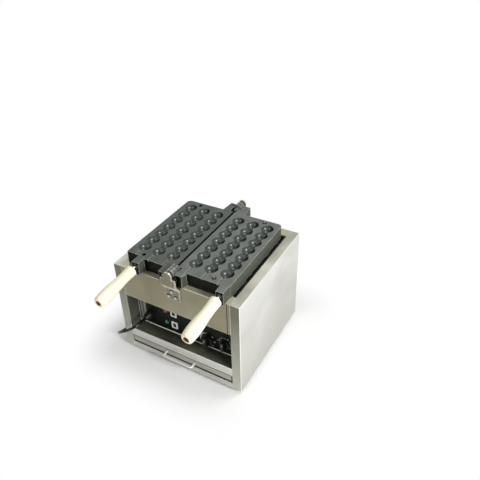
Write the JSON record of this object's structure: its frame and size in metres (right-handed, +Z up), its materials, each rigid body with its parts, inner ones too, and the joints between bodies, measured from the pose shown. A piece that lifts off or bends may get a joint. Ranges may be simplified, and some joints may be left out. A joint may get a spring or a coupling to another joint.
{
  "type": "skewer waffle maker",
  "caption": "Countertop electric waffle maker with two hinged cast plates of ball cavities joined in rows for skewers, wooden handles, a recessed control bay and a crumb drawer.",
  "frame": {"origin": "on the table, under the plates' hinge line, halfway between the front and rear faces of the case", "axes": "+X to the right seen from the front, +Y to the rear, along the hinge line, +Z up"},
  "size_m": [0.4634, 0.5013, 0.324],
  "materials": {
    "side_steel": "brushed stainless, soft cloudy reflections",
    "case_steel": "satin stainless sheet",
    "black_rubber": "matt",
    "screw_steel": "bright turned steel",
    "black_panel": "satin black",
    "green_lens": "clear green lens",
    "red_lens": "clear red lens",
    "white_plastic": "moulded white",
    "black_plastic": "moulded black",
    "dial_print": "black with a printed white scale",
    "cast_plate": "dark non-stick coating, semi-matt",
    "wood": "turned pale hardwood, clear lacquer",
    "heater_sheath": "oxidised stainless sheath",
    "bright_sheet": "aluminised sheet",
    "chrome": "polished",
    "cord_rubber": "smooth black sheath",
    "plug_brass": "nickel-plated brass"
  },
  "bodies": {
    "cabinet": {"side_panel_left": "side_steel", "side_panel_right": "side_steel", "front_panel": "case_steel", "rear_panel": "case_steel", "bottom_pan": "case_steel", "rubber_feet": "black_rubber", "foot_screws": "screw_steel", "lower_rail": "case_steel", "bay_side_left": "case_steel", "bay_side_right": "case_steel", "control_panel": "black_panel", "lamp_green": "green_lens", "lamp_red": "red_lens", "switch_body_lower": "white_plastic", "switch_body_upper": "white_plastic", "dial_plates": "dial_print", "thermostat_body": "black_plastic", "timer_body": "black_plastic", "terminal_block": "white_plastic", "hinge_bracket_front": "case_steel", "hinge_bracket_rear": "case_steel", "bracket_screws_front": "screw_steel", "bracket_screws_rear": "screw_steel", "hinge_pins": "screw_steel", "heating_element_left": "heater_sheath", "heating_element_right": "heater_sheath", "reflector_tray": "bright_sheet", "element_rests": "case_steel", "drawer_runner_left": "case_steel", "drawer_runner_right": "case_steel", "cable_gland": "black_plastic", "mains_cord": "cord_rubber", "cord_coil": "cord_rubber", "plug_body": "cord_rubber", "plug_pins": "plug_brass"},
    "left_plate": {"plate_left": "cast_plate", "hinge_knuckles_left": "screw_steel", "handle_rod_left": "screw_steel", "handle_grip_left": "wood", "grip_nut_left": "screw_steel"},
    "right_plate": {"plate_right": "cast_plate", "hinge_knuckles_right": "screw_steel", "locating_pins": "screw_steel", "handle_rod_right": "screw_steel", "handle_grip_right": "wood", "grip_nut_right": "screw_steel"},
    "drawer": {"drawer_tray": "case_steel", "drawer_front": "case_steel", "drawer_handle": "chrome"},
    "thermostat": {"thermostat_knob": "black_plastic", "thermostat_spindle": "screw_steel"},
    "timer": {"timer_knob": "black_plastic", "timer_spindle": "screw_steel"},
    "upper_rocker": {"switch_rocker_upper": "black_plastic"},
    "lower_rocker": {"switch_rocker_lower": "black_plastic"}
  },
  "joints": [
    {"name": "left_plate_hinge", "type": "hinge", "parent": "cabinet", "child": "left_plate", "pos_m": [0, 0, 0.313], "axis": [0, 1, 0], "range_deg": [0, 180]},
    {"name": "right_plate_hinge", "type": "hinge", "parent": "cabinet", "child": "right_plate", "pos_m": [0, 0, 0.313], "axis": [0, -1, 0], "range_deg": [0, 180]},
    {"name": "drawer_slide", "type": "slide", "parent": "cabinet", "child": "drawer", "axis": [0, -1, 0], "range_m": [0, 0.23]},
    {"name": "thermostat_turn", "type": "hinge", "parent": "cabinet", "child": "thermostat", "pos_m": [0.062, -0.126, 0.098], "axis": [0, 1, 0], "range_deg": [0, 270]},
    {"name": "timer_turn", "type": "hinge", "parent": "cabinet", "child": "timer", "pos_m": [0.112, -0.126, 0.108], "axis": [0, 1, 0], "range_deg": [0, 300]},
    {"name": "upper_switch_rock", "type": "hinge", "parent": "cabinet", "child": "upper_rocker", "pos_m": [-0.037, -0.126, 0.141], "axis": [-1, 0, 0], "range_deg": [0, 16]},
    {"name": "lower_switch_rock", "type": "hinge", "parent": "cabinet", "child": "lower_rocker", "pos_m": [-0.037, -0.126, 0.102], "axis": [-1, 0, 0], "range_deg": [0, 16]}
  ]
}
